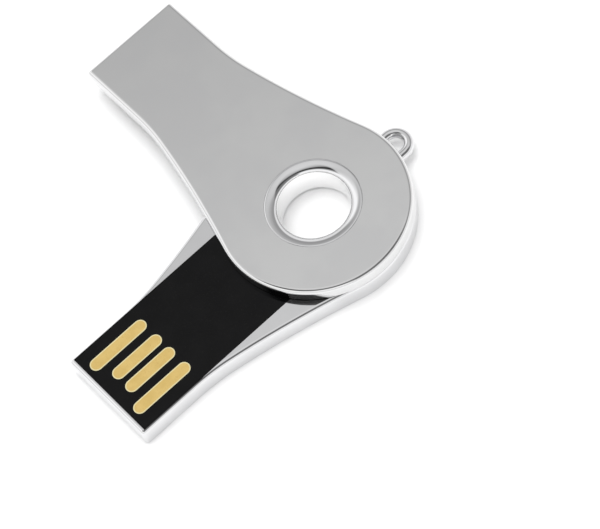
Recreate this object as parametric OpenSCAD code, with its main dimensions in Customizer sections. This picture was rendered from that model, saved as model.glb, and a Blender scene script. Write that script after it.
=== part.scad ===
// Keyhole-shaped swivel memory stick.
// A thin metal tray carries a flat chip module with four contacts. A metal cover
// of the same outline turns above it on a hollow rivet.
// The origin is on the rivet's axis at the underside, +X points to the contact end
// and +Z is up. The cover is modelled open, a quarter turn from its closed place.

/* [Outline] */
// Radius of the round head
head_r = 10.4; // [9.8:0.1:11.2]
// Width of the straight neck
neck_w = 12; // [11.9:0.05:12.2]
// Reach of the tray from the pivot axis to the contact end
tray_reach = 29.3; // [29:0.1:31]
// Reach of the cover from the pivot axis to its free end
cover_reach = 30.2; // [29.5:0.1:32]
// Radius of the flare that leaves the neck
flare_r = 24; // [20:1:30]
// Radius of the corners at the end of the neck
corner_r = 0.4; // [0.2:0.1:1]

/* [Thickness] */
// Height of the tray
tray_h = 2.5; // [2.4:0.05:2.8]
// Gap between the tray and the cover
cover_gap = 0.1; // [0.08:0.01:0.15]
// Thickness of the cover at its rim
cover_t = 1.55; // [1.4:0.05:2]
// Thickness of the cover's top and side walls
cover_wall = 0.6; // [0.4:0.05:0.65]

/* [Pivot] */
// Radius of the hole through the rivet
bore_r = 3.85; // [3.5:0.05:3.9]
// Wall of the rivet's tube
rivet_wall = 0.5; // [0.4:0.05:0.55]
// Radius of the rivet's upper lip
lip_r = 5.15; // [5.05:0.05:5.4]
// Running clearance between the cover and the rivet
running_gap = 0.05; // [0.03:0.01:0.08]

/* [Chip module] */
// Length of the module
chip_len = 22; // [21:0.5:22]
// Width of the module
chip_w = 11.3; // [11:0.1:11.4]
// Thickness of the module's circuit board
board_t = 0.3; // [0.2:0.05:0.4]
// Thickness of the moulded body under the board
mould_t = 1.1; // [1:0.05:1.2]
// Space between the module and the end of the tray
chip_margin = 0.55; // [0.45:0.05:0.8]

/* [Contacts] */
// Width of a contact
pad_w = 1.45; // [1:0.05:1.6]
// Length of the two outer contacts
outer_pad_len = 7.4; // [6.5:0.1:8]
// Length of the two inner contacts
inner_pad_len = 6.4; // [5.5:0.1:7]
// Distance of an outer contact from the centre line
outer_pad_y = 3.5; // [3.3:0.05:3.6]
// Distance of an inner contact from the centre line
inner_pad_y = 1.05; // [0.95:0.05:1.2]

/* [Lanyard loop] */
// Diameter of the wire
wire_d = 1.15; // [0.9:0.05:1.2]
// Distance between the wire's two legs, centre to centre
leg_pitch = 2.9; // [2.6:0.1:3.4]
// Reach of the loop beyond the head
loop_reach = 2.8; // [2.5:0.1:4]

/* [Hidden] */

$fn = 96;
eps = 0.01;

// Outline: the head's tangent point and the two flare arcs of each flank
flare_angle = 10;
flank_angle = 17.4;
flank_r = (head_r * cos(flank_angle) - neck_w / 2 - flare_r * (1 - cos(flare_angle)))
          / (cos(flare_angle) - cos(flank_angle));
flank_centre = (head_r + flank_r) * [sin(flank_angle), cos(flank_angle)];
flare_centre = flank_centre - (flank_r - flare_r) * [sin(flare_angle), cos(flare_angle)];
arc_steps = 8;
head_steps = 72;

// Heights, from the table up
tape_t = 0.1;
floor_h = tray_h - board_t - mould_t - tape_t;
mould_z = floor_h + tape_t;
board_z = mould_z + mould_t;
cover_z = tray_h + cover_gap;
cover_top = cover_z + cover_t;
closed_turn = -90;

// Chip module
chip_end = tray_reach - chip_margin;
chip_start = chip_end - chip_len;
pocket_gap = 0.05;
pad_t = 0.06;
pad_proud = 0.02;
outer_pad_inset = 0.55;
inner_pad_inset = 1.55;

// Dies and small parts hang from the board's underside
flash_size = [9.6, 8.4, 0.3];
flash_x = chip_end - 12.2;
flash_step = 0.7;
controller_size = [3.6, 3.2, 0.25];
controller_x = chip_end - 19;
crystal_size = [2, 1.6, 0.5];
crystal_x = chip_start + 0.7;
capacitor_size = [0.5, 1, 0.5];
resistor_size = [0.6, 0.3, 0.25];
capacitor_y = [-4.6, -3.1, 3.1, 4.6];
resistor_y = [-4.4, -3.8, -3.2, 3.2, 3.8, 4.4];

// Pivot
rivet_r = bore_r + rivet_wall;
seat_gap = 0.02;
lip_h = 0.45;
lip_drop = 0.65;
foot_r = 4.95;
foot_h = 0.35;
washer_r = 6.2;
washer_depth = 0.6;
glide_t = 0.3;
spring_t = 0.12;
spring_rise = 0.2;

// Lanyard loop
wire_z = 1.6;
leg_depth = 1.8;
bend_r = leg_pitch / 2;
bend_x = -(head_r + loop_reach - wire_d / 2 - bend_r);

// Cover
liner_gap = 0.05;
liner_recess = 0.05;
boss_r = washer_r + 0.3;
cavity_top = cover_top - cover_wall;

metal = "silver";
soft_steel = "lightgray";
plastic_black = [0.1, 0.1, 0.11];
gold = [0.88, 0.72, 0.38];
silicon = [0.35, 0.37, 0.42];

// Points of an arc about c, from angle a0 to a1
function arc(c, r, a0, a1, steps = arc_steps) =
    [for (i = [0 : steps]) let (a = a0 + (a1 - a0) * i / steps) c + r * [cos(a), sin(a)]];

// One flank, from the head's tangent point to the end of the neck, grown outwards
function flank(grow, reach) =
    let (end = reach + grow,
         half = neck_w / 2 + grow,
         r = max(corner_r + grow, 0.1))
    concat(arc(flank_centre, flank_r - grow, 270 - flank_angle, 270 - flare_angle),
           arc(flare_centre, flare_r - grow, 270 - flare_angle, 270),
           arc([end - r, half - r], r, 90, 0));

function mirrored(points) = [for (i = [len(points) - 1 : -1 : 0]) [points[i][0], -points[i][1]]];

// The head's arc between the two tangent points, without its ends
function head_arc(grow) =
    let (start = flank_angle - 90,
         points = arc([0, 0], head_r + grow, start, -360 - start, head_steps))
    [for (i = [1 : head_steps - 1]) points[i]];

// Keyhole outline: a round head blended into a straight neck
module keyhole(grow, reach) {
    side = flank(grow, reach);
    polygon(concat(side, mirrored(side), head_arc(grow)));
}

// Flat ring about the pivot
module ring(inner, outer, z0, z1) {
    translate([0, 0, z0])
        difference() {
            cylinder(r = outer, h = z1 - z0);
            translate([0, 0, -eps])
                cylinder(r = inner, h = z1 - z0 + 2 * eps);
        }
}

// Block centred on y, with its low x and its top z given
module hanging_block(size, x, y, z_top) {
    translate([x, y - size[1] / 2, z_top - size[2]])
        cube(size);
}

// Slot with round ends that runs back from x_end
module pad_shape(x_end, y, len) {
    translate([x_end - len + pad_w / 2, y - pad_w / 2])
        square([len - pad_w, pad_w]);
    for (x = [x_end - len + pad_w / 2, x_end - pad_w / 2])
        translate([x, y])
            circle(d = pad_w, $fn = 48);
}

module outer_pad_shape(side) {
    pad_shape(chip_end - outer_pad_inset, side * outer_pad_y, outer_pad_len);
}

module inner_pad_shape(side) {
    pad_shape(chip_end - inner_pad_inset, side * inner_pad_y, inner_pad_len);
}

module contact() {
    color(gold)
        translate([0, 0, tray_h + pad_proud - pad_t])
            linear_extrude(pad_t)
                children();
}

// The wire's bend and legs, with its radius given
module loop_wire(r) {
    translate([bend_x, 0, wire_z])
        rotate([0, 0, 90])
            rotate_extrude(angle = 180)
                translate([bend_r, 0])
                    circle(r = r, $fn = 32);
    for (side = [-1, 1])
        translate([bend_x, side * bend_r, wire_z])
            rotate([0, 90, 0])
                cylinder(r = r, h = -bend_x - head_r + leg_depth + 0.3, $fn = 32);
}

// Row of blocks that hang from the board; extra makes each one taller, upwards
module capacitor_blocks(extra) {
    for (y = capacitor_y)
        hanging_block(capacitor_size + [0, 0, extra], chip_start + 1, y, board_z + extra);
}

module resistor_blocks(extra) {
    for (y = resistor_y)
        hanging_block(resistor_size + [0, 0, extra], flash_x - 1.4, y, board_z + extra);
}

// Space that one die or can takes up in the moulded body
module cavity(size, x, z_top) {
    hanging_block(size + [0, 0, eps], x, 0, z_top + eps);
}

module tray() {
    color(metal)
        difference() {
            linear_extrude(tray_h)
                keyhole(0, tray_reach);
            // pocket for the chip module
            translate([chip_start - pocket_gap, -chip_w / 2 - pocket_gap, floor_h])
                cube([chip_len + 2 * pocket_gap, chip_w + 2 * pocket_gap, tray_h]);
            // seat for the two washers
            translate([0, 0, tray_h - washer_depth])
                cylinder(r = washer_r + 0.1, h = tray_h);
            // hole for the rivet's tube and its rolled foot
            translate([0, 0, -eps])
                cylinder(r = rivet_r + seat_gap, h = tray_h);
            translate([0, 0, -eps])
                cylinder(r = foot_r + seat_gap, h = foot_h + eps);
            // sockets for the lanyard loop's legs
            for (side = [-1, 1])
                translate([-head_r - 1, side * bend_r, wire_z])
                    rotate([0, 90, 0])
                        cylinder(d = wire_d + 2 * seat_gap, h = 1 + leg_depth, $fn = 32);
        }
}

module lanyard_loop() {
    color(metal)
        difference() {
            loop_wire(wire_d / 2);
            translate([-head_r + leg_depth - 0.1, -leg_pitch, 0])
                cube([leg_pitch, 2 * leg_pitch, tray_h]);
        }
}

module adhesive_pad() {
    color("whitesmoke")
        translate([chip_start + 0.3, -chip_w / 2 + 0.3, floor_h])
            cube([chip_len - 0.6, chip_w - 0.6, tape_t]);
}

module mould_body() {
    color(plastic_black)
        difference() {
            translate([chip_start, -chip_w / 2, mould_z])
                cube([chip_len, chip_w, mould_t]);
            cavity(controller_size, controller_x, board_z);
            cavity(flash_size, flash_x, board_z);
            cavity(flash_size, flash_x + flash_step, board_z - flash_size[2]);
            cavity(crystal_size, crystal_x, board_z);
            capacitor_blocks(eps);
            resistor_blocks(eps);
        }
}

module circuit_board() {
    color(plastic_black)
        difference() {
            translate([chip_start, -chip_w / 2, board_z])
                cube([chip_len, chip_w, board_t]);
            translate([0, 0, tray_h + pad_proud - pad_t])
                linear_extrude(pad_t)
                    for (side = [-1, 1]) {
                        outer_pad_shape(side);
                        inner_pad_shape(side);
                    }
        }
}

module contact_power() {
    contact()
        outer_pad_shape(-1);
}

module contact_data_minus() {
    contact()
        inner_pad_shape(-1);
}

module contact_data_plus() {
    contact()
        inner_pad_shape(1);
}

module contact_ground() {
    contact()
        outer_pad_shape(1);
}

module controller_die() {
    color(silicon)
        hanging_block(controller_size, controller_x, 0, board_z);
}

module flash_die_first() {
    color(silicon)
        hanging_block(flash_size, flash_x, 0, board_z);
}

module flash_die_second() {
    color(silicon)
        hanging_block(flash_size, flash_x + flash_step, 0, board_z - flash_size[2]);
}

module capacitors() {
    color("tan")
        capacitor_blocks(0);
}

module resistors() {
    color("dimgray")
        resistor_blocks(0);
}

module clock_crystal() {
    color(soft_steel)
        hanging_block(crystal_size, crystal_x, 0, board_z);
}

// Dished spring washer that presses the glide washer up against the cover
module spring_washer() {
    z0 = tray_h - washer_depth;
    inner = rivet_r + 0.15;
    outer = washer_r - 0.05;
    color(soft_steel)
        rotate_extrude()
            polygon([[inner, z0 + spring_rise], [inner, z0 + spring_rise + spring_t],
                     [outer, z0 + spring_t], [outer, z0]]);
}

module glide_washer() {
    top = cover_z - seat_gap;
    color("white")
        ring(rivet_r + 0.1, washer_r - 0.05, top - glide_t, top);
}

// Hollow rivet: a tube with a rounded lip above the cover and a rolled foot below the tray
module pivot_rivet() {
    seat_z = cover_top - lip_h + seat_gap;
    lip_edge = lip_r - 0.05;
    lip_steps = 10;
    lip_curve = [for (i = [0 : lip_steps]) let (a = 90 - 90 * i / lip_steps)
                 [lip_edge - (lip_edge - bore_r) * cos(a), cover_top - lip_drop * (1 - sin(a))]];
    color(metal)
        rotate_extrude()
            polygon(concat([[bore_r, 0], [foot_r, 0], [foot_r, foot_h - seat_gap],
                            [rivet_r, foot_h - seat_gap], [rivet_r, seat_z], [lip_r, seat_z],
                            [lip_r, cover_top - 0.05]],
                           lip_curve));
}

module cover_shell() {
    color(metal)
        rotate([0, 0, closed_turn])
            difference() {
                translate([0, 0, cover_z])
                    linear_extrude(cover_t)
                        keyhole(0, cover_reach);
                // hollow underside, with a boss left round the pivot
                difference() {
                    translate([0, 0, cover_z - eps])
                        linear_extrude(cavity_top - cover_z + eps)
                            keyhole(-cover_wall, cover_reach);
                    translate([0, 0, cover_z - 2 * eps])
                        cylinder(r = boss_r, h = cover_t);
                }
                translate([0, 0, cover_z - eps])
                    cylinder(r = rivet_r + running_gap, h = cover_t);
                translate([0, 0, cover_top - lip_h])
                    cylinder(r = lip_r + running_gap, h = cover_t);
            }
}

module liner_sheet(z0, z1) {
    rotate([0, 0, closed_turn])
        difference() {
            translate([0, 0, z0])
                linear_extrude(z1 - z0)
                    keyhole(-cover_wall - liner_gap, cover_reach);
            translate([0, 0, z0 - eps])
                cylinder(r = boss_r + liner_gap, h = z1 - z0 + 2 * eps);
        }
}

module liner_tape() {
    color("whitesmoke")
        liner_sheet(cavity_top - tape_t, cavity_top);
}

module cover_liner() {
    color("gray")
        liner_sheet(cover_z + liner_recess, cavity_top - tape_t);
}

tray();
lanyard_loop();
adhesive_pad();
mould_body();
circuit_board();
contact_power();
contact_data_minus();
contact_data_plus();
contact_ground();
controller_die();
flash_die_first();
flash_die_second();
capacitors();
resistors();
clock_crystal();
spring_washer();
glide_washer();
pivot_rivet();
cover_shell();
liner_tape();
cover_liner();
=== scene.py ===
"""Swivel memory stick.

A bright metal tray holds a chip module with four contacts. A metal cover of the same outline turns
above it on a hollow rivet.
"""

import math

import bmesh
import bpy
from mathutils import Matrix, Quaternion, Vector


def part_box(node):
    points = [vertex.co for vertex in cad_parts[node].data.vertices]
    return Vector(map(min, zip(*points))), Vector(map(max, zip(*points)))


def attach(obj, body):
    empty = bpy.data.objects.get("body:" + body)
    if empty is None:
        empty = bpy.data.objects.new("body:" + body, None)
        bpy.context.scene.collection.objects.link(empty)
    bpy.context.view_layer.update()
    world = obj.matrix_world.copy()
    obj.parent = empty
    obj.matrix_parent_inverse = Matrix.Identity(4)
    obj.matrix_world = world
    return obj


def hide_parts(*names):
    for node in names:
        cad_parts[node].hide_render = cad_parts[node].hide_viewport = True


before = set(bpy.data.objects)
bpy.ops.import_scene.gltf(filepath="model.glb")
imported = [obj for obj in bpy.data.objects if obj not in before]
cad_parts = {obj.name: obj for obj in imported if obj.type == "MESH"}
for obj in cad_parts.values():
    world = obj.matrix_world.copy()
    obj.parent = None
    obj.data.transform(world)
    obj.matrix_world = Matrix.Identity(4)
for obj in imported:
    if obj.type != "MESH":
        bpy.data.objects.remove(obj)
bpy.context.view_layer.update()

# Sizes are in metres, in the model's own frame: the rivet's axis is Z, the tray's neck runs along +X.
MM = 0.001
TINY = 1e-6
QUARTER_TURN = math.pi / 2

# Gaps between pieces that fit together, and between pieces that slide
SEAT_GAP = 0.02 * MM
RUNNING_GAP = 0.05 * MM

# Height of a cut that goes right through
CLEAR = 9 * MM

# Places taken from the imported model
tray_low, tray_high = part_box("tray")
cover_low, cover_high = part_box("cover_shell")
board_low, board_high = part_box("circuit_board")
rivet_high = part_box("pivot_rivet")[1]
liner_low, liner_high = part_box("cover_liner")
loop_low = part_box("lanyard_loop")[0]
spring_low, spring_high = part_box("spring_washer")
glide_low, glide_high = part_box("glide_washer")

HEAD_RADIUS = tray_high.y
TRAY_REACH = tray_high.x
COVER_REACH = -cover_low.y

# Outline of the tray and the cover
NECK_WIDTH = 12 * MM
FLARE_RADIUS = 24 * MM
CORNER_RADIUS = 0.4 * MM
FLARE_ANGLE = math.radians(10)
FLANK_ANGLE = math.radians(17.4)
HEAD_STEPS = 60
FLANK_STEPS = 10
CORNER_STEPS = 6
CORNER_LEAST = 0.1 * MM
TOP_ROUND = 0.5 * MM
TOP_STEPS = 9
BOTTOM_ROUND = 0.12 * MM
BOTTOM_STEPS = 3

# Pivot
BORE_RADIUS = 3.85 * MM
TUBE_RADIUS = 4.35 * MM
LIP_SEAT = 3.72 * MM
LIP_DROP = 0.65 * MM
LIP_EDGE = 0.02 * MM
LIP_STEPS = 12
FOOT_RADIUS = 4.95 * MM
FOOT_HEIGHT = 0.33 * MM
FOOT_EDGE = ((0.15 * MM, 0), (0.05 * MM, 0.03 * MM), (0, 0.12 * MM))
FOOT_FLARE = 0.45 * MM
FOOT_FLARE_HEIGHT = 0.5 * MM
FOOT_STEPS = 8
SEAT_RADIUS = 6.3 * MM
SEAT_HEIGHT = 1.9 * MM
BOSS_RADIUS = 6.5 * MM
RIVET_STEPS = 144
ROUND_STEPS = 120
SPRING_BORE = 4.5 * MM
SPRING_THICKNESS = 0.12 * MM
SPRING_EDGE = 0.02 * MM
GLIDE_BORE = 4.45 * MM
GLIDE_EDGE = 0.05 * MM

# Cover
WALL = 0.6 * MM
CAVITY_TOP = 3.55 * MM
COUNTERBORE = 3.7 * MM
LIP_GAP = 0.015 * MM
LINER_ROUND = 0.15 * MM
LINER_SHOULDER = 0.3

# Chip module
POCKET_GAP = 0.05 * MM
POCKET_FLOOR = 1.0 * MM
BOARD_EDGE = 0.03 * MM
PAD_EDGE = 0.015 * MM
PAD_RIM = 0.078 * MM
PAD_SLOPE = 0.052 * MM
PAD_DISH = 0.006 * MM
PAD_STEPS = 20
CONTACTS = ("contact_power", "contact_data_minus", "contact_data_plus", "contact_ground")
BLOCK_ROUND = 0.12 * MM
DIE_GAP = 0.01 * MM

CAPACITOR_PLACES = (-4.6 * MM, -3.1 * MM, 3.1 * MM, 4.6 * MM)
CAPACITOR_LENGTH = 1.0 * MM
CAPACITOR_TIP = 0.22 * MM
RESISTOR_PLACES = (-4.4 * MM, -3.8 * MM, -3.2 * MM, 3.2 * MM, 3.8 * MM, 4.4 * MM)
RESISTOR_WIDTH = 0.3 * MM
RESISTOR_TIP = 0.12 * MM
TIP_PROUD = 0.01 * MM
TIP_EDGE = 0.02 * MM

# Lanyard loop
WIRE_RADIUS = 0.575 * MM
BEND_RADIUS = 1.45 * MM
LEG_END = -8.6 * MM
SOCKET_LENGTH = 4 * MM
WIRE_STEPS = 24
SOCKET_STEPS = 32
BEND_STEPS = 36

# Camera
CAMERA_PLACE = (0.06270, 0.13455, 0.25784)
CAMERA_TARGET = (0.00482, 0.00221, 0)
CAMERA_ROLL = math.radians(-20.875)
CAMERA_LENS = 171.19
CAMERA_SENSOR = 36

# Chrome where it is clean and where it is smudged; the bore's chrome is painted near white, painted light
# against the shade in the hole
CHROME = (0.725, 0.725, 0.733)
CHROME_DULL = (0.702, 0.702, 0.710)
# Near-white bore colour: painted light that lifts the shade inside the hole
BORE_PAINTED_LIGHT = (0.98, 0.98, 0.98)

# Sky seen in the metal, as (height, grey) stops from the horizon to overhead. Near and far, left and
# right are as seen from the camera.
SKY = 1.28
FAR_SKY = [(0.0, 0.74), (0.28, 0.74), (0.42, 0.85), (0.54, 0.32), (0.70, 0.34), (0.82, 0.465),
           (0.875, 0.60), (0.95, 0.68), (1.0, 0.70)]
FAR_LEFT_SKY = [(0.0, 0.74), (0.30, 0.74), (0.45, 1.0), (0.66, 1.0), (0.80, 0.72), (0.89, 0.6),
                (1.0, 0.7)]
NEAR_SKY = [(0.0, 0.78), (0.30, 0.78), (0.45, 1.0), (0.66, 1.0), (0.74, 0.40), (0.81, 0.22),
            (0.835, 0.03), (0.905, 0.03), (0.93, 0.26), (0.97, 0.5), (1.0, 0.7)]
NEAR_RIGHT_SKY = [(0.0, 0.78), (0.28, 0.78), (0.45, 1.0), (0.58, 0.22), (0.83, 0.18), (0.85, 0.05),
                  (0.90, 0.05), (0.94, 0.4), (1.0, 0.7)]
LEFT_WAY = (0.866, -0.5, 0)
RIGHT_WAY = (-0.866, 0.5, 0)

# Even sky that lights matt surfaces, and the lamp above
DOME = 0.8
LAMP_PLACE = (0.0, -0.12, 0.8)
LAMP_SIZE = 0.5
LAMP_POWER = 3.1

TABLE_SIZE = 3
TABLE_GREY = 0.92


# ---------------------------------------------------------------- tools

def deselect():
    bpy.ops.object.select_all(action="DESELECT")


def open_mesh(piece):
    deselect()
    piece.select_set(True)
    bpy.context.view_layer.objects.active = piece
    bpy.ops.object.mode_set(mode="EDIT")


def close_mesh():
    bpy.ops.object.mode_set(mode="OBJECT")


def pick(piece, kind, test):
    """Selects the corners, edges or faces that pass the test, in edit mode."""
    bpy.ops.mesh.select_mode(type=kind)
    bpy.ops.mesh.select_all(action="DESELECT")
    mesh = bmesh.from_edit_mesh(piece.data)
    parts = {"VERT": mesh.verts, "EDGE": mesh.edges, "FACE": mesh.faces}[kind]
    for part in parts:
        if test(part):
            part.select_set(True)
    mesh.select_flush_mode()
    bmesh.update_edit_mesh(piece.data)


def level(height):
    """Test for an edge or face that lies flat at a height."""
    return lambda part: all(abs(v.co.z - height) < TINY for v in part.verts)


def rim(height):
    """Test for an edge at a height between a flat face and a wall."""
    def test(edge):
        if not level(height)(edge) or len(edge.link_faces) != 2:
            return False
        return sum(abs(face.normal.z) > 0.9 for face in edge.link_faces) == 1
    return test


def name_and_open(name):
    """Names the piece just added, fixes its place and opens it for editing."""
    piece = bpy.context.object
    piece.name = name
    bpy.ops.object.transform_apply(location=True, rotation=True, scale=True)
    bpy.ops.object.mode_set(mode="EDIT")
    return piece


def start_point(name, x, y, z):
    """A single corner to draw from, opened for editing."""
    deselect()
    bpy.ops.mesh.primitive_plane_add(size=MM, location=(x, y, z))
    piece = name_and_open(name)
    bpy.ops.mesh.select_mode(type="VERT")
    bpy.ops.mesh.merge(type="CENTER")
    return piece


def draw(x=0.0, y=0.0, z=0.0):
    bpy.ops.mesh.extrude_region_move(TRANSFORM_OT_translate={"value": (x, y, z)})


def sweep(steps, angle, centre, axis=(0, 0, 1)):
    """Turns the selection about an axis, anticlockwise for a positive angle."""
    bpy.ops.mesh.spin(steps=steps, angle=-angle, center=centre, axis=axis)


def bevel(width, segments):
    bpy.ops.mesh.bevel(offset=width, segments=segments, profile=0.5, affect="EDGES",
                       clamp_overlap=False)


def clean():
    bpy.ops.mesh.select_all(action="SELECT")
    bpy.ops.mesh.remove_doubles(threshold=TINY)
    bpy.ops.mesh.normals_make_consistent(inside=False)


def fill_and_raise(height):
    """Closes the drawn outline with a face and draws it up."""
    bpy.ops.mesh.select_all(action="SELECT")
    bpy.ops.mesh.remove_doubles(threshold=TINY)
    bpy.ops.mesh.edge_face_add()
    draw(z=height)
    clean()


def modify(piece, kind, **settings):
    deselect()
    piece.select_set(True)
    bpy.context.view_layer.objects.active = piece
    bpy.ops.object.modifier_add(type=kind)
    modifier = piece.modifiers[-1]
    for key, value in settings.items():
        setattr(modifier, key, value)
    bpy.ops.object.modifier_apply(modifier=modifier.name)


def carve(piece, *cutters):
    """Takes each cutter's shape out of the piece."""
    for cutter in cutters:
        modify(piece, "BOOLEAN", operation="DIFFERENCE", solver="EXACT", object=cutter)
        bpy.data.objects.remove(cutter)


def block(name, low, high):
    """A block between two corners, opened for editing."""
    deselect()
    middle = (Vector(low) + Vector(high)) / 2
    size = Vector(high) - Vector(low)
    bpy.ops.mesh.primitive_cube_add(size=1, location=middle, scale=size)
    return name_and_open(name)


def blunt_block(name, low, high):
    """A block rounded along its lower and standing edges."""
    piece = block(name, low, high)
    pick(piece, "EDGE", lambda edge: not level(high.z)(edge))
    bevel(BLOCK_ROUND, 3)
    clean()
    close_mesh()
    return piece


def quarter(steps):
    """Angles of a quarter turn."""
    return [QUARTER_TURN * i / steps for i in range(steps + 1)]


def draw_outline(grow, reach, height):
    """Half of the keyhole outline, grown outwards by a margin, drawn in the open mesh."""
    radius = HEAD_RADIUS + grow
    half = NECK_WIDTH / 2
    drop = HEAD_RADIUS * math.cos(FLANK_ANGLE) - half - FLARE_RADIUS * (1 - math.cos(FLARE_ANGLE))
    flank = drop / (math.cos(FLARE_ANGLE) - math.cos(FLANK_ANGLE))
    out = HEAD_RADIUS + flank
    flank_centre = Vector((out * math.sin(FLANK_ANGLE), out * math.cos(FLANK_ANGLE), height))
    back = flank - FLARE_RADIUS
    across = Vector((back * math.sin(FLARE_ANGLE), back * math.cos(FLARE_ANGLE), 0))
    flare_centre = flank_centre - across
    corner = max(CORNER_RADIUS + grow, CORNER_LEAST)
    end = reach + grow
    side = half + grow
    bpy.ops.mesh.select_all(action="DESELECT")
    bpy.ops.mesh.primitive_plane_add(size=MM, location=(-radius, 0, height))
    bpy.ops.mesh.merge(type="CENTER")
    sweep(HEAD_STEPS, -(QUARTER_TURN + FLANK_ANGLE), (0, 0, height))
    sweep(FLANK_STEPS, FLANK_ANGLE - FLARE_ANGLE, flank_centre)
    sweep(FLANK_STEPS, FLARE_ANGLE, flare_centre)
    draw(x=end - corner - flare_centre.x)
    sweep(CORNER_STEPS, -QUARTER_TURN, (end - corner, side - corner, height))
    draw(y=corner - side)


def keyhole(name, reach, levels):
    """Solid with its neck along +X, through keyhole outlines given as (margin, height), from below."""
    piece = start_point(name, 0, 0, levels[0][1])
    bpy.ops.mesh.delete(type="VERT")
    for grow, height in levels:
        draw_outline(grow, reach, height)
    close_mesh()
    modify(piece, "MIRROR", use_axis=(False, True, False), merge_threshold=TINY)
    open_mesh(piece)
    bpy.ops.mesh.select_all(action="SELECT")
    bpy.ops.mesh.remove_doubles(threshold=TINY)
    for below, above in zip(levels, levels[1:]):
        heights = (below[1], above[1])
        pick(piece, "EDGE", lambda edge: level(heights[0])(edge) or level(heights[1])(edge))
        bpy.ops.mesh.bridge_edge_loops()
    for height in (levels[0][1], levels[-1][1]):
        pick(piece, "EDGE", level(height))
        bpy.ops.mesh.edge_face_add()
    clean()
    close_mesh()
    return piece


def rounded(low, high, bottom, top):
    """Levels of a solid with a rounded rim above and, where the radius is not 0, below."""
    below = [(bottom * (math.sin(turn) - 1), low + bottom * (1 - math.cos(turn)))
             for turn in quarter(BOTTOM_STEPS)]
    above = [(top * (math.cos(turn) - 1), high - top * (1 - math.sin(turn)))
             for turn in quarter(TOP_STEPS)]
    return below + above if bottom else [(0, low)] + above


def turned(name, profile, steps=ROUND_STEPS):
    """Shape turned about the rivet's axis from a list of (radius, height) points."""
    piece = start_point(name, profile[0][0], 0, profile[0][1])
    for before, after in zip(profile, profile[1:]):
        draw(x=after[0] - before[0], z=after[1] - before[1])
    bpy.ops.mesh.select_all(action="SELECT")
    sweep(steps, 2 * math.pi, (0, 0, 0))
    clean()
    close_mesh()
    return piece


def turn_open(piece):
    """Turns a piece of the cover from its closed place to its open one."""
    deselect()
    piece.select_set(True)
    piece.rotation_euler = (0, 0, -QUARTER_TURN)
    bpy.ops.object.transform_apply(location=True, rotation=True, scale=True)


def smooth(piece, angle=35):
    """Smooth shading that keeps its flat faces flat."""
    deselect()
    piece.select_set(True)
    bpy.context.view_layer.objects.active = piece
    bpy.ops.object.shade_smooth_by_angle(angle=math.radians(angle))
    modify(piece, "WEIGHTED_NORMAL", mode="FACE_AREA", keep_sharp=True)


def mark_rim(piece, test):
    """Marks the corners whose index passes the test, for a material that changes there."""
    marks = piece.data.attributes.new("rim", "FLOAT", "POINT")
    for i, mark in enumerate(marks.data):
        mark.value = 1.0 if test(i) else 0.0


def fit(piece, finish, body, slot, *nodes):
    """Gives a finished piece its material and its body, and hides the imported nodes it stands for."""
    piece.data.materials.clear()
    piece.data.materials.append(finish)
    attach(piece, body)
    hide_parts(*nodes)


# ---------------------------------------------------------------- shader groups

def new_group(name, inputs, outputs):
    tree = bpy.data.node_groups.new(name, "ShaderNodeTree")
    for label, kind, value in inputs:
        socket = tree.interface.new_socket(name=label, in_out="INPUT", socket_type=kind)
        if value is not None:
            socket.default_value = value
    for label in outputs:
        tree.interface.new_socket(name=label, in_out="OUTPUT", socket_type="NodeSocketFloat")
    enter = tree.nodes.new("NodeGroupInput")
    leave = tree.nodes.new("NodeGroupOutput")
    return tree, enter, leave


def node(tree, kind, **settings):
    made = tree.nodes.new(kind)
    for key, value in settings.items():
        setattr(made, key, value)
    return made


def mix(tree, mask, first, second):
    """Colour that follows a mask from the first to the second."""
    made = node(tree, "ShaderNodeMix", data_type="RGBA")
    tree.links.new(mask, made.inputs["Factor"])
    for socket, colour in ((made.inputs[6], first), (made.inputs[7], second)):
        if isinstance(colour, tuple):
            socket.default_value = (*colour, 1)
        else:
            tree.links.new(colour, socket)
    return made.outputs[2]


def smudge_group():
    """Broad soft patches, from 0 to 1."""
    tree, enter, leave = new_group("smudges", [("Vector", "NodeSocketVector", None),
                                               ("Scale", "NodeSocketFloat", 200.0)], ["Mask"])
    noise = node(tree, "ShaderNodeTexNoise")
    noise.inputs["Detail"].default_value = 3
    noise.inputs["Roughness"].default_value = 0.55
    spread = node(tree, "ShaderNodeMapRange", interpolation_type="SMOOTHSTEP")
    spread.inputs["From Min"].default_value = 0.35
    spread.inputs["From Max"].default_value = 0.68
    tree.links.new(enter.outputs["Vector"], noise.inputs["Vector"])
    tree.links.new(enter.outputs["Scale"], noise.inputs["Scale"])
    tree.links.new(noise.outputs["Fac"], spread.inputs["Value"])
    tree.links.new(spread.outputs["Result"], leave.inputs["Mask"])
    return tree


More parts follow.
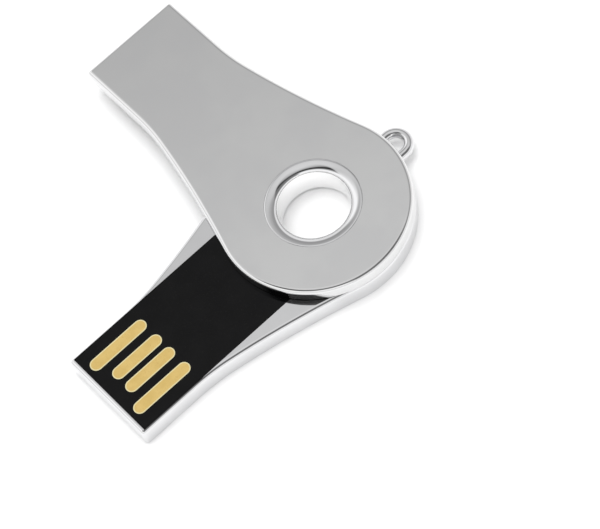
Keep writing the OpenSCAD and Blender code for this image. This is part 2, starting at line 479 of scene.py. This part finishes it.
def hairline_group():
    """Fine lines along X: a height, and a mask of the deeper ones."""
    tree, enter, leave = new_group("hairlines", [("Vector", "NodeSocketVector", None),
                                                 ("Along", "NodeSocketFloat", 150.0),
                                                 ("Across", "NodeSocketFloat", 9000.0)],
                                   ["Height", "Mask"])
    stretch = node(tree, "ShaderNodeCombineXYZ")
    scaled = node(tree, "ShaderNodeVectorMath", operation="MULTIPLY")
    noise = node(tree, "ShaderNodeTexNoise")
    noise.inputs["Scale"].default_value = 1
    noise.inputs["Detail"].default_value = 4
    noise.inputs["Roughness"].default_value = 0.7
    deep = node(tree, "ShaderNodeMapRange")
    deep.inputs["From Min"].default_value = 0.62
    deep.inputs["From Max"].default_value = 0.75
    tree.links.new(enter.outputs["Along"], stretch.inputs["X"])
    tree.links.new(enter.outputs["Across"], stretch.inputs["Y"])
    tree.links.new(enter.outputs["Across"], stretch.inputs["Z"])
    tree.links.new(enter.outputs["Vector"], scaled.inputs[0])
    tree.links.new(stretch.outputs["Vector"], scaled.inputs[1])
    tree.links.new(scaled.outputs["Vector"], noise.inputs["Vector"])
    tree.links.new(noise.outputs["Fac"], leave.inputs["Height"])
    tree.links.new(noise.outputs["Fac"], deep.inputs["Value"])
    tree.links.new(deep.outputs["Result"], leave.inputs["Mask"])
    return tree


def grain_group():
    """Fine even grain: a height, and a mask of its brighter specks."""
    tree, enter, leave = new_group("grain", [("Vector", "NodeSocketVector", None),
                                             ("Scale", "NodeSocketFloat", 6000.0)],
                                   ["Height", "Specks"])
    noise = node(tree, "ShaderNodeTexNoise")
    noise.inputs["Detail"].default_value = 2
    noise.inputs["Roughness"].default_value = 0.6
    specks = node(tree, "ShaderNodeMapRange")
    specks.inputs["From Min"].default_value = 0.6
    specks.inputs["From Max"].default_value = 0.72
    tree.links.new(enter.outputs["Vector"], noise.inputs["Vector"])
    tree.links.new(enter.outputs["Scale"], noise.inputs["Scale"])
    tree.links.new(noise.outputs["Fac"], leave.inputs["Height"])
    tree.links.new(noise.outputs["Fac"], specks.inputs["Value"])
    tree.links.new(specks.outputs["Result"], leave.inputs["Specks"])
    return tree


smudges = smudge_group()
hairlines = hairline_group()
grain = grain_group()


# ---------------------------------------------------------------- materials

class Finish:
    """A material being made: its tree, its shader and its Object coordinates."""

    def __init__(self, name):
        self.material = bpy.data.materials.new(name)
        self.material.use_nodes = True
        self.tree = self.material.node_tree
        self.shader = self.tree.nodes["Principled BSDF"]
        self.place = self.tree.nodes.new("ShaderNodeTexCoord").outputs["Object"]

    def set(self, **values):
        for key, value in values.items():
            self.shader.inputs[key.replace("_", " ")].default_value = value

    def link(self, source, socket):
        self.tree.links.new(source, self.shader.inputs[socket])

    def effect(self, group, **values):
        made = node(self.tree, "ShaderNodeGroup", node_tree=group)
        self.tree.links.new(self.place, made.inputs["Vector"])
        for key, value in values.items():
            made.inputs[key].default_value = value
        return made

    def between(self, mask, low, high):
        """Number that follows a mask from low to high."""
        made = node(self.tree, "ShaderNodeMapRange")
        made.inputs["To Min"].default_value = low
        made.inputs["To Max"].default_value = high
        self.tree.links.new(mask, made.inputs["Value"])
        return made.outputs["Result"]

    def blend(self, mask, first, second):
        return mix(self.tree, mask, first, second)

    def bump(self, height, distance):
        made = node(self.tree, "ShaderNodeBump")
        made.inputs["Strength"].default_value = 1.0
        made.inputs["Distance"].default_value = distance
        self.tree.links.new(height, made.inputs["Height"])
        return made.outputs["Normal"]


def chrome(name, first, second, smoothest, roughest, patch_scale, along, across, depth):
    """Plated metal with faint smudges and hairlines."""
    f = Finish(name)
    f.set(Metallic=1.0)
    patches = f.effect(smudges, Scale=patch_scale)
    lines = f.effect(hairlines, Along=along, Across=across)
    f.link(f.blend(patches.outputs["Mask"], first, second), "Base Color")
    f.link(f.between(patches.outputs["Mask"], smoothest, roughest), "Roughness")
    f.link(f.bump(lines.outputs["Mask"], depth), "Normal")
    return f.material


def rivet_chrome():
    """Plated metal, with the bore's base colour painted near white: painted light that lifts the shade in
    the hole.
    """
    f = Finish("rivet_chrome")
    f.set(Metallic=1.0)
    patches = f.effect(smudges, Scale=260.0)
    flat = node(f.tree, "ShaderNodeVectorMath", operation="MULTIPLY")
    flat.inputs[1].default_value = (1, 1, 0)
    f.tree.links.new(f.place, flat.inputs[0])
    away = node(f.tree, "ShaderNodeVectorMath", operation="LENGTH")
    f.tree.links.new(flat.outputs["Vector"], away.inputs[0])
    outside = node(f.tree, "ShaderNodeMapRange")
    outside.inputs["From Min"].default_value = BORE_RADIUS + 0.02 * MM
    outside.inputs["From Max"].default_value = BORE_RADIUS + 0.12 * MM
    f.tree.links.new(away.outputs["Value"], outside.inputs["Value"])
    lip = f.blend(patches.outputs["Mask"], CHROME, CHROME_DULL)
    # Inside the bore the base colour is painted near white: painted light against the shade in the hole
    f.link(f.blend(outside.outputs["Result"], BORE_PAINTED_LIGHT, lip), "Base Color")
    f.link(f.between(patches.outputs["Mask"], 0.035, 0.075), "Roughness")
    return f.material


def black_mask():
    f = Finish("black_mask")
    f.set(IOR=1.26)
    patches = f.effect(smudges, Scale=400.0)
    dots = f.effect(grain, Scale=9000.0)
    dark = f.blend(patches.outputs["Mask"], (0.0008, 0.0008, 0.001), (0.0018, 0.0018, 0.002))
    f.link(f.blend(dots.outputs["Specks"], dark, (0.005, 0.005, 0.005)), "Base Color")
    f.link(f.between(patches.outputs["Mask"], 0.06, 0.11), "Roughness")
    f.link(f.bump(dots.outputs["Height"], 0.001 * MM), "Normal")
    return f.material


def gold_plate():
    f = Finish("gold_plate")
    f.set(Metallic=0.45)
    patches = f.effect(smudges, Scale=900.0)
    dots = f.effect(grain, Scale=7000.0)
    edge = node(f.tree, "ShaderNodeAttribute", attribute_name="rim")
    body = f.blend(patches.outputs["Mask"], (0.645, 0.465, 0.160), (0.60, 0.423, 0.134))
    body = f.blend(dots.outputs["Specks"], body, (0.56, 0.375, 0.112))
    f.link(f.blend(edge.outputs["Fac"], body, (0.71, 0.64, 0.37)), "Base Color")
    f.link(f.between(dots.outputs["Height"], 0.32, 0.5), "Roughness")
    f.link(f.bump(dots.outputs["Height"], 0.004 * MM), "Normal")
    return f.material


def plastic(name, first, second, rough, scale, depth):
    """Moulded plastic or ceramic with a fine grain."""
    f = Finish(name)
    patches = f.effect(smudges, Scale=scale / 10)
    dots = f.effect(grain, Scale=scale)
    f.link(f.blend(patches.outputs["Mask"], first, second), "Base Color")
    f.link(f.between(dots.outputs["Height"], rough - 0.06, rough + 0.06), "Roughness")
    f.link(f.bump(dots.outputs["Height"], depth), "Normal")
    return f.material


def tipped(name, first, second, scale):
    """Small ceramic part whose ends are tinned."""
    f = Finish(name)
    dots = f.effect(grain, Scale=scale)
    ends = node(f.tree, "ShaderNodeAttribute", attribute_name="rim").outputs["Fac"]
    body = f.blend(dots.outputs["Specks"], first, second)
    f.link(f.blend(ends, body, (0.70, 0.69, 0.67)), "Base Color")
    f.link(ends, "Metallic")
    f.link(f.between(ends, 0.5, 0.3), "Roughness")
    f.link(f.bump(dots.outputs["Height"], 0.003 * MM), "Normal")
    return f.material


def metal(name, first, second, rough):
    """Plain rolled or plated metal."""
    f = Finish(name)
    f.set(Metallic=1.0)
    patches = f.effect(smudges, Scale=700.0)
    lines = f.effect(hairlines, Along=300.0, Across=9000.0)
    f.link(f.blend(patches.outputs["Mask"], first, second), "Base Color")
    f.link(f.between(lines.outputs["Height"], rough - 0.05, rough + 0.08), "Roughness")
    f.link(f.bump(lines.outputs["Height"], 0.001 * MM), "Normal")
    return f.material


finishes = {
    "bright_chrome": chrome("bright_chrome", CHROME, CHROME_DULL, 0.035, 0.075,
                            260.0, 90.0, 5200.0, 0.0004 * MM),
    "satin_chrome": chrome("satin_chrome", (0.718, 0.718, 0.718), (0.694, 0.694, 0.698), 0.09, 0.14,
                           170.0, 120.0, 7000.0, 0.0005 * MM),
    "black_mask": black_mask(),
    "gold_plate": gold_plate(),
    "black_resin": plastic("black_resin", (0.012, 0.012, 0.013), (0.02, 0.02, 0.021),
                           0.5, 8000.0, 0.006 * MM),
    "silicon": metal("silicon", (0.30, 0.32, 0.38), (0.36, 0.36, 0.40), 0.2),
    "rivet_chrome": rivet_chrome(),
    "tinned_ceramic": tipped("tinned_ceramic", (0.32, 0.22, 0.14), (0.38, 0.27, 0.17), 7000.0),
    "tinned_resin": tipped("tinned_resin", (0.015, 0.015, 0.016), (0.03, 0.03, 0.031), 8000.0),
    "spring_steel": metal("spring_steel", (0.55, 0.55, 0.56), (0.62, 0.62, 0.62), 0.3),
    "white_nylon": plastic("white_nylon", (0.75, 0.75, 0.73), (0.80, 0.80, 0.78),
                           0.4, 5000.0, 0.003 * MM),
    "white_tape": plastic("white_tape", (0.78, 0.77, 0.73), (0.72, 0.71, 0.67),
                          0.6, 4000.0, 0.006 * MM),
    "grey_liner": plastic("grey_liner", (0.10, 0.10, 0.105), (0.13, 0.13, 0.135),
                          0.5, 5000.0, 0.006 * MM),
}


# ---------------------------------------------------------------- pieces

def tray():
    """Keyhole tray with a pocket for the module, a seat for the washers and two sockets."""
    piece = keyhole("tray_body", TRAY_REACH,
                    rounded(tray_low.z, tray_high.z, BOTTOM_ROUND, TOP_ROUND))
    pocket = block("pocket", (board_low.x - POCKET_GAP, board_low.y - POCKET_GAP, POCKET_FLOOR),
                   (board_high.x + POCKET_GAP, board_high.y + POCKET_GAP, 2 * tray_high.z))
    close_mesh()
    foot = FOOT_RADIUS + SEAT_GAP
    tube = TUBE_RADIUS + SEAT_GAP
    foot_top = FOOT_HEIGHT + SEAT_GAP
    pivot = turned("pivot", [(0, -MM), (foot, -MM), (foot, foot_top), (tube, foot_top),
                             (tube, SEAT_HEIGHT), (SEAT_RADIUS, SEAT_HEIGHT),
                             (SEAT_RADIUS, 2 * tray_high.z), (0, 2 * tray_high.z)])
    cutters = [pocket, pivot]
    for side in (-1, 1):
        deselect()
        bpy.ops.mesh.primitive_cylinder_add(
            vertices=SOCKET_STEPS, radius=WIRE_RADIUS + SEAT_GAP, depth=SOCKET_LENGTH,
            location=(LEG_END - SOCKET_LENGTH / 2, side * BEND_RADIUS, loop_low.z + WIRE_RADIUS),
            rotation=(0, QUARTER_TURN, 0))
        cutters.append(bpy.context.object)
    carve(piece, *cutters)
    smooth(piece)
    fit(piece, finishes["bright_chrome"], "base", "bright_chrome", "tray")


def cover():
    """Keyhole cover, hollow below, with a boss round the pivot and a step for the rivet's lip."""
    piece = keyhole("cover_body", COVER_REACH,
                    rounded(cover_low.z, cover_high.z, 0, TOP_ROUND))
    hollow = keyhole("hollow", COVER_REACH, [(-WALL, cover_low.z - MM), (-WALL, CAVITY_TOP)])
    boss = turned("boss", [(0, 0), (BOSS_RADIUS, 0), (BOSS_RADIUS, CLEAR), (0, CLEAR)])
    carve(hollow, boss)
    tube = TUBE_RADIUS + RUNNING_GAP
    lip = rivet_high.y + LIP_GAP
    hole = turned("hole", [(0, 0), (tube, 0), (tube, COUNTERBORE), (lip, COUNTERBORE),
                           (lip, CLEAR), (0, CLEAR)])
    carve(piece, hollow, hole)
    turn_open(piece)
    smooth(piece)
    fit(piece, finishes["satin_chrome"], "cover", "satin_chrome", "cover_shell")


def rivet():
    """Hollow rivet with a rounded lip above and a rolled foot below."""
    lip_edge = rivet_high.y - LIP_EDGE
    top = rivet_high.z
    profile = [(BORE_RADIUS + FOOT_FLARE * (1 - math.cos(turn)), FOOT_FLARE_HEIGHT * (1 - math.sin(turn)))
               for turn in quarter(FOOT_STEPS)]
    profile += [(FOOT_RADIUS - inwards, height) for inwards, height in FOOT_EDGE]
    profile += [(FOOT_RADIUS, FOOT_HEIGHT), (TUBE_RADIUS, FOOT_HEIGHT), (TUBE_RADIUS, LIP_SEAT),
                (rivet_high.y, LIP_SEAT), (rivet_high.y, top - LIP_EDGE)]
    profile += [(lip_edge - (lip_edge - BORE_RADIUS) * math.sin(turn),
                 top - LIP_DROP * (1 - math.cos(turn))) for turn in quarter(LIP_STEPS)]
    profile.append(profile[0])
    piece = turned("rivet_body", profile, RIVET_STEPS)
    smooth(piece, 50)
    fit(piece, finishes["rivet_chrome"], "base", "bright_chrome", "pivot_rivet")


def loop():
    """Bent wire with two legs in the head."""
    centre_z = loop_low.z + WIRE_RADIUS
    bend_x = loop_low.x + WIRE_RADIUS + BEND_RADIUS
    deselect()
    bpy.ops.mesh.primitive_circle_add(vertices=WIRE_STEPS, radius=WIRE_RADIUS, fill_type="NGON",
                                      location=(LEG_END, -BEND_RADIUS, centre_z),
                                      rotation=(0, QUARTER_TURN, 0))
    piece = name_and_open("loop_wire")
    bpy.ops.mesh.select_all(action="SELECT")
    draw(x=bend_x - LEG_END)
    sweep(BEND_STEPS, -math.pi, (bend_x, 0, centre_z))
    draw(x=LEG_END - bend_x)
    clean()
    close_mesh()
    smooth(piece)
    fit(piece, finishes["bright_chrome"], "base", "bright_chrome", "lanyard_loop")


def capsule(name, low, high, bottom, top):
    """Slab with round ends along X, in the outline of a contact's box."""
    radius = (high.y - low.y) / 2
    middle = (high.y + low.y) / 2
    piece = start_point(name, low.x + radius, middle + radius, bottom)
    sweep(PAD_STEPS, math.pi, (low.x + radius, middle, bottom))
    draw(x=high.x - low.x - 2 * radius)
    sweep(PAD_STEPS, math.pi, (high.x - radius, middle, bottom))
    fill_and_raise(top - bottom)
    return piece


def contact(name, cad_node):
    """Plated pad with a slightly dished middle and a paler rim."""
    low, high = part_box(cad_node)
    piece = capsule(name, low, high, low.z, high.z)
    pick(piece, "EDGE", rim(high.z))
    bevel(PAD_EDGE, 2)
    pick(piece, "FACE", level(high.z))
    bpy.ops.mesh.inset(thickness=PAD_RIM, depth=0)
    bpy.ops.mesh.inset(thickness=PAD_SLOPE, depth=-PAD_DISH)
    mesh = bmesh.from_edit_mesh(piece.data)
    inner = {v.index for v in mesh.verts if v.select}
    close_mesh()
    mark_rim(piece, lambda i: i not in inner)
    smooth(piece)
    fit(piece, finishes["gold_plate"], "base", "gold_plate", cad_node)


def board():
    """Board with a recess under each contact."""
    piece = block("board_masked", board_low, board_high)
    pick(piece, "EDGE", lambda edge: True)
    bevel(BOARD_EDGE, 2)
    close_mesh()
    for cad_node in CONTACTS:
        low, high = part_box(cad_node)
        cutter = capsule("recess", low, high, low.z, 2 * high.z)
        close_mesh()
        carve(piece, cutter)
    smooth(piece)
    fit(piece, finishes["black_mask"], "base", "black_mask", "circuit_board")


def liner():
    """Moulded liner in the cover's hollow."""
    margin = -WALL - POCKET_GAP
    fall = LINER_ROUND
    shoulder = fall * LINER_SHOULDER
    piece = keyhole("liner_moulded", COVER_REACH,
                    [(margin - fall, liner_low.z), (margin - shoulder, liner_low.z + shoulder),
                     (margin, liner_low.z + fall), (margin, liner_high.z)])
    hole = BOSS_RADIUS + POCKET_GAP
    opening = turned("opening", [(0, 0), (hole, 0), (hole, CLEAR), (0, CLEAR)])
    carve(piece, opening)
    turn_open(piece)
    smooth(piece)
    fit(piece, finishes["grey_liner"], "cover", "grey_liner", "cover_liner")


def spaces(cad_node, width, places):
    """Boxes of the parts in a row across the module."""
    low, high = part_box(cad_node)
    return [(Vector((low.x, y - width / 2, low.z)), Vector((high.x, y + width / 2, high.z)))
            for y in places]


def mould():
    """Resin body with rounded lower edges and a space for each part inside it."""
    piece = blunt_block("mould_resin", *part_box("mould_body"))
    filled = spaces("capacitors", CAPACITOR_LENGTH, CAPACITOR_PLACES)
    filled += spaces("resistors", RESISTOR_WIDTH, RESISTOR_PLACES)
    filled += [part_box(cad_node) for cad_node in ("controller_die", "flash_die_first",
                                                 "flash_die_second", "clock_crystal")]
    for space_low, space_high in filled:
        cutter = block("space", space_low, space_high + Vector((0, 0, DIE_GAP)))
        close_mesh()
        carve(piece, cutter)
    smooth(piece)
    fit(piece, finishes["black_resin"], "base", "black_resin", "mould_body")


def small_parts(name, cad_node, width, places, tip, along, finish, slot):
    """Row of small parts, each a body between two tinned ends; along is 0 for X and 1 for Y."""
    inwards = Vector((TIP_PROUD, TIP_PROUD, TIP_PROUD))
    inwards[along] = tip - TIP_PROUD
    bodies = []
    tips = []
    for low, high in spaces(cad_node, width, places):
        bodies.append(block("body", low + inwards, high - inwards))
        close_mesh()
        shift = Vector((0, 0, 0))
        shift[along] = high[along] - low[along] - tip
        for tip_low, tip_high in ((low, high - shift), (low + shift, high)):
            tips.append(block("tip", tip_low, tip_high))
            pick(tips[-1], "EDGE", lambda edge: True)
            bevel(TIP_EDGE, 2)
            close_mesh()
    for part in bodies:
        mark_rim(part, lambda i: False)
    for part in tips:
        mark_rim(part, lambda i: True)
    deselect()
    for part in bodies + tips:
        part.select_set(True)
    piece = bodies[0]
    bpy.context.view_layer.objects.active = piece
    bpy.ops.object.join()
    piece.name = name
    smooth(piece)
    fit(piece, finishes[finish], "base", slot, cad_node)


def crystal():
    """Pressed metal can."""
    piece = blunt_block("crystal_can", *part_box("clock_crystal"))
    smooth(piece)
    fit(piece, finishes["spring_steel"], "base", "spring_steel", "clock_crystal")


def spring_washer():
    """Dished steel washer with its outer edge down."""
    inner, outer = SPRING_BORE, spring_high.y
    low, high = spring_low.z, spring_high.z
    fall, thick = SPRING_EDGE, SPRING_THICKNESS
    profile = [(inner, high - thick + fall), (inner, high - fall), (inner + fall, high),
               (outer - fall, low + thick), (outer, low + thick - fall), (outer, low + fall),
               (outer - fall, low), (inner + fall, high - thick)]
    piece = turned("washer_spring", profile + profile[:1])
    smooth(piece)
    fit(piece, finishes["spring_steel"], "base", "spring_steel", "spring_washer")


def glide_washer():
    """Flat nylon ring that the cover slides on."""
    inner, outer = GLIDE_BORE, glide_high.y
    low, high = glide_low.z, glide_high.z
    fall = GLIDE_EDGE
    profile = [(inner + fall, low), (inner, low + fall), (inner, high - fall), (inner + fall, high),
               (outer - fall, high), (outer, high - fall), (outer, low + fall), (outer - fall, low)]
    piece = turned("washer_nylon", profile + profile[:1])
    smooth(piece)
    fit(piece, finishes["white_nylon"], "base", "white_nylon", "glide_washer")


def keep(cad_node, finish):
    """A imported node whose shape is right, with a better finish."""
    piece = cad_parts[cad_node]
    if not piece.data.materials:
        piece.data.materials.append(finishes[finish])
    for place in piece.material_slots:
        place.material = finishes[finish]


tray()
cover()
rivet()
loop()
board()
for contact_node in CONTACTS:
    contact(contact_node.replace("contact", "pad"), contact_node)
liner()
mould()
small_parts("capacitor_row", "capacitors", CAPACITOR_LENGTH, CAPACITOR_PLACES, CAPACITOR_TIP, 1,
            "tinned_ceramic", "ceramic")
small_parts("resistor_row", "resistors", RESISTOR_WIDTH, RESISTOR_PLACES, RESISTOR_TIP, 0,
            "tinned_resin", "black_resin")
crystal()
spring_washer()
glide_washer()
keep("adhesive_pad", "white_tape")
keep("controller_die", "silicon")
keep("flash_die_first", "silicon")
keep("flash_die_second", "silicon")
keep("liner_tape", "white_tape")


# ---------------------------------------------------------------- stage

def ramp(tree, source, stops):
    """Grey that follows a number through a list of (position, grey) stops."""
    made = node(tree, "ShaderNodeValToRGB")
    made.color_ramp.interpolation = "LINEAR"
    points = made.color_ramp.elements
    while len(points) < len(stops):
        points.new(0.5)
    for point, (position, grey) in zip(points, stops):
        point.position = position
        point.color = (grey, grey, grey, 1)
    tree.links.new(source, made.inputs["Fac"])
    return made.outputs["Color"]


def facing(tree, place, way, start, end):
    """Mask of the part of the sky that lies in one direction, blended in between two marks."""
    along = node(tree, "ShaderNodeVectorMath", operation="DOT_PRODUCT")
    along.inputs[1].default_value = way
    tree.links.new(place, along.inputs[0])
    mask = node(tree, "ShaderNodeMapRange", interpolation_type="SMOOTHSTEP")
    mask.inputs["From Min"].default_value = start
    mask.inputs["From Max"].default_value = end
    tree.links.new(along.outputs["Value"], mask.inputs["Value"])
    return mask.outputs["Result"]


def studio():
    """Pale room: light round the table, grey overhead, dark behind the camera."""
    world = bpy.data.worlds.new("studio")
    bpy.context.scene.world = world
    world.use_nodes = True
    tree = world.node_tree
    place = node(tree, "ShaderNodeTexCoord").outputs["Generated"]
    parts = node(tree, "ShaderNodeSeparateXYZ")
    tree.links.new(place, parts.inputs["Vector"])
    height = parts.outputs["Z"]
    near_way = Vector(CAMERA_PLACE) - Vector(CAMERA_TARGET)
    near_way.z = 0
    near_way.normalize()
    near = facing(tree, place, near_way, -0.12, 0.02)
    right = facing(tree, place, RIGHT_WAY, 0.1, 0.3)
    left = facing(tree, place, LEFT_WAY, 0.2, 0.4)
    near_sky = mix(tree, right, ramp(tree, height, NEAR_SKY), ramp(tree, height, NEAR_RIGHT_SKY))
    far_sky = mix(tree, left, ramp(tree, height, FAR_SKY), ramp(tree, height, FAR_LEFT_SKY))
    sky = mix(tree, near, far_sky, near_sky)
    matt = node(tree, "ShaderNodeLightPath").outputs["Is Diffuse Ray"]
    seen = mix(tree, matt, sky, (DOME, DOME, DOME))
    tree.links.new(seen, tree.nodes["Background"].inputs["Color"])
    tree.nodes["Background"].inputs["Strength"].default_value = SKY


def table():
    deselect()
    bpy.ops.mesh.primitive_plane_add(size=TABLE_SIZE)
    floor = bpy.context.object
    floor.name = "table"
    paper = bpy.data.materials.new("table_paper")
    paper.use_nodes = True
    shader = paper.node_tree.nodes["Principled BSDF"]
    shader.inputs["Base Color"].default_value = (TABLE_GREY, TABLE_GREY, TABLE_GREY, 1)
    shader.inputs["Roughness"].default_value = 0.9
    shader.inputs["Specular IOR Level"].default_value = 0.1
    floor.data.materials.append(paper)


def soft_light(name, place, size, power):
    """Square soft light aimed at the object, which does not show in the metal."""
    deselect()
    bpy.ops.object.light_add(type="AREA", location=place)
    lamp = bpy.context.object
    lamp.name = name
    lamp.data.size = size
    lamp.data.energy = power
    lamp.rotation_euler = (-Vector(place)).to_track_quat("-Z", "Y").to_euler()
    lamp.visible_glossy = False


def camera():
    deselect()
    bpy.ops.object.camera_add(location=CAMERA_PLACE)
    made = bpy.context.object
    look = Vector(CAMERA_TARGET) - Vector(CAMERA_PLACE)
    turn = look.to_track_quat("-Z", "Y") @ Quaternion((0, 0, 1), CAMERA_ROLL)
    made.rotation_euler = turn.to_euler()
    made.data.lens = CAMERA_LENS
    made.data.sensor_width = CAMERA_SENSOR
    made.data.clip_start = 0.01
    bpy.context.scene.camera = made


studio()
table()
soft_light("key_light", LAMP_PLACE, LAMP_SIZE, LAMP_POWER)
camera()
bpy.context.scene.view_settings.view_transform = "Standard"
